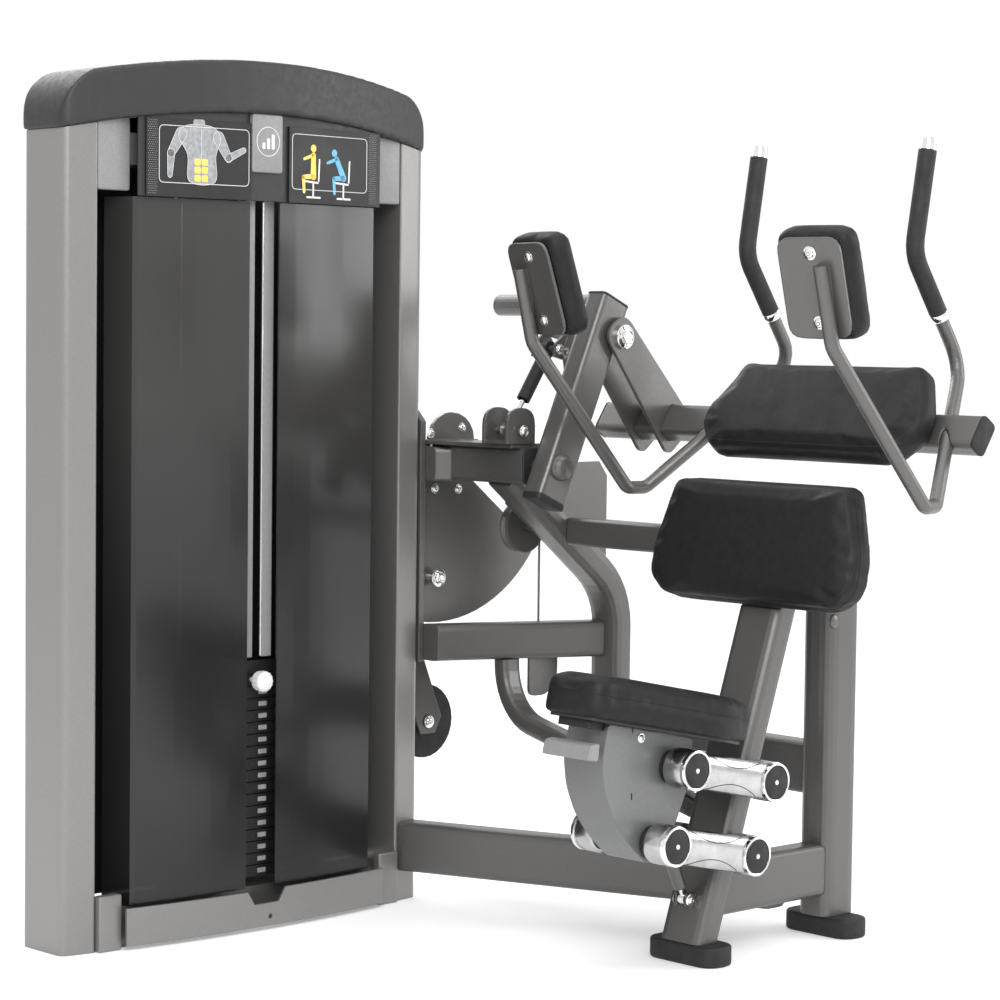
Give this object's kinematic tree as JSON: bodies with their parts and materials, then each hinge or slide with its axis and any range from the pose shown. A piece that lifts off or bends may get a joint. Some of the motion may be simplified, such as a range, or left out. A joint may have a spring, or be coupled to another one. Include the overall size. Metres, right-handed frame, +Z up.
{
  "type": "ab crunch machine",
  "caption": "Selectorised abdominal crunch machine: weight tower, pivoting upper carriage with handles and pads, height-adjustable seat on parallel links.",
  "frame": {"origin": "middle of the whole machine box, on the floor", "axes": "+Z up; -X is the way the user faces; the weight tower front faces -Y and its width runs along +X"},
  "size_m": [1.3544, 1.3056, 1.643],
  "materials": {
    "frame_paint": "metallic grey powder coat, satin",
    "column_paint": "light metallic grey powder coat, satin",
    "cap_plastic": "charcoal, soft satin",
    "smoke_panel": "smoked panel, near opaque",
    "placard_gloss": "gloss black printed panel",
    "vinyl": "black upholstery vinyl",
    "grip_rubber": "matte black rubber",
    "chrome": "polished",
    "link_silver": "bright satin",
    "stack_iron": "black painted",
    "light_plastic": "light grey moulded",
    "cable_steel": "coated cable"
  },
  "bodies": {
    "frame": {"left_column": "column_paint", "right_column": "column_paint", "tower_cap": "cap_plastic", "left_shield": "smoke_panel", "right_shield": "smoke_panel", "left_placard": "placard_gloss", "right_placard": "placard_gloss", "top_crossbeam": "column_paint", "base_crossbeam": "frame_paint", "rear_shroud": "cap_plastic", "kick_plate": "column_paint", "weight_stack": "stack_iron", "left_guide_rod": "chrome", "right_guide_rod": "chrome", "lift_cable": "cable_steel", "tower_flange": "frame_paint", "pivot_housing": "frame_paint", "strut_bracket": "frame_paint", "gooseneck_post": "frame_paint", "mid_tube": "frame_paint", "rear_cross_tube": "frame_paint", "j_brace": "frame_paint", "base_tube": "frame_paint", "bench_tube": "frame_paint", "seat_mast": "frame_paint", "rear_post": "frame_paint", "front_foot": "grip_rubber", "rear_foot": "grip_rubber", "lumbar_tube": "frame_paint", "lumbar_pad": "vinyl", "drive_cable": "cable_steel"},
    "head_stack": {"head_plate": "stack_iron"},
    "pin": {"selector_pin": "light_plastic"},
    "lever": {"lever_column": "frame_paint", "pivot_axle": "frame_paint", "counterweight_arm": "frame_paint", "drive_cam": "frame_paint"},
    "carriage": {"swing_yoke": "frame_paint", "cross_tube": "frame_paint", "back_pad": "vinyl", "near_arm": "frame_paint", "near_elbow_pad": "vinyl", "near_grip": "grip_rubber", "far_arm": "frame_paint", "far_elbow_pad": "vinyl", "far_grip": "grip_rubber"},
    "strut_lower": {"strut_rod": "chrome"},
    "strut_upper": {"strut_body": "grip_rubber"},
    "top_wheel": {"top_pulley": "grip_rubber"},
    "hub_wheel": {"hub_pulley": "frame_paint"},
    "low_wheel": {"low_pulley": "grip_rubber"},
    "upper_link": {"upper_link_near": "link_silver", "upper_link_far": "link_silver"},
    "lower_link": {"lower_link_near": "link_silver", "lower_link_far": "link_silver"},
    "seat": {"seat_carriage": "light_plastic", "seat_pad": "vinyl"},
    "seat_release": {"seat_lever": "light_plastic"},
    "seat_strut_lower": {"seat_strut_rod": "chrome"},
    "seat_strut_upper": {"seat_strut_body": "frame_paint"}
  },
  "joints": [
    {"name": "crunch", "type": "hinge", "parent": "frame", "child": "lever", "pos_m": [0.26483, 0.52279, 0.882], "axis": [0, -1, 0], "range_deg": [0, 42]},
    {"name": "carriage_tilt", "type": "hinge", "parent": "lever", "child": "carriage", "pos_m": [0.41683, 0.21779, 1.137], "axis": [0, -1, 0], "range_deg": [0, 25]},
    {"name": "strut_foot_pivot", "type": "hinge", "parent": "frame", "child": "strut_lower", "pos_m": [0.23283, 0.30979, 0.951], "axis": [0, -1, 0], "range_deg": [0, 58]},
    {"name": "strut_head_pivot", "type": "hinge", "parent": "lever", "child": "strut_upper", "pos_m": [0.33983, 0.30979, 1.111], "axis": [0, -1, 0], "range_deg": [0, 16]},
    {"name": "stack_lift", "type": "slide", "parent": "frame", "child": "head_stack", "axis": [0, 0, 1], "range_m": [0, 0.32]},
    {"name": "pin_pull", "type": "slide", "parent": "head_stack", "child": "pin", "axis": [0, -1, 0], "range_m": [0, 0.05]},
    {"name": "top_pulley_turn", "type": "hinge", "parent": "frame", "child": "top_wheel", "pos_m": [-0.19317, 0.56479, 1.47], "axis": [0, 1, 0], "range_deg": [0, 500]},
    {"name": "hub_pulley_turn", "type": "hinge", "parent": "frame", "child": "hub_wheel", "pos_m": [0.40283, 0.44279, 0.748], "axis": [0, 1, 0], "range_deg": [0, 400]},
    {"name": "low_pulley_turn", "type": "hinge", "parent": "frame", "child": "low_wheel", "pos_m": [0.27683, 0.60529, 0.343], "axis": [0, 1, 0], "range_deg": [0, 260]},
    {"name": "seat_lift", "type": "hinge", "parent": "frame", "child": "upper_link", "pos_m": [0.28483, -0.23921, 0.332], "axis": [0, 1, 0], "range_deg": [0, 28]},
    {"name": "lower_link_turn", "type": "hinge", "parent": "frame", "child": "lower_link", "pos_m": [0.23683, -0.23921, 0.202], "axis": [0, 1, 0], "range_deg": [0, 28]},
    {"name": "seat_level", "type": "hinge", "parent": "upper_link", "child": "seat", "pos_m": [0.07183, -0.23921, 0.374], "axis": [0, 1, 0], "range_deg": [-28, 0]},
    {"name": "seat_release_turn", "type": "hinge", "parent": "seat", "child": "seat_release", "pos_m": [-0.09917, -0.23921, 0.419], "axis": [0, 1, 0], "range_deg": [0, 15], "stiffness_Nm_per_rad": 2},
    {"name": "seat_strut_foot", "type": "hinge", "parent": "frame", "child": "seat_strut_lower", "pos_m": [0.16683, -0.23921, 0.116], "axis": [0, 1, 0], "range_deg": [0, 24]},
    {"name": "seat_strut_head", "type": "hinge", "parent": "seat", "child": "seat_strut_upper", "pos_m": [0.10283, -0.23921, 0.25], "axis": [0, 1, 0], "range_deg": [0, 24]}
  ],
  "couplings": [
    {"joint": "strut_foot_pivot", "follows": "crunch", "ratio": 1.335},
    {"joint": "strut_head_pivot", "follows": "crunch", "ratio": 0.335},
    {"joint": "stack_lift", "follows": "crunch", "m_per_rad": 0.42},
    {"joint": "top_pulley_turn", "follows": "crunch", "ratio": 11.4},
    {"joint": "hub_pulley_turn", "follows": "crunch", "ratio": 8.9},
    {"joint": "low_pulley_turn", "follows": "crunch", "ratio": 5.9},
    {"joint": "lower_link_turn", "follows": "seat_lift", "ratio": 1},
    {"joint": "seat_level", "follows": "seat_lift", "ratio": -1},
    {"joint": "seat_strut_foot", "follows": "seat_lift", "ratio": 0.746},
    {"joint": "seat_strut_head", "follows": "seat_lift", "ratio": 0.746}
  ]
}
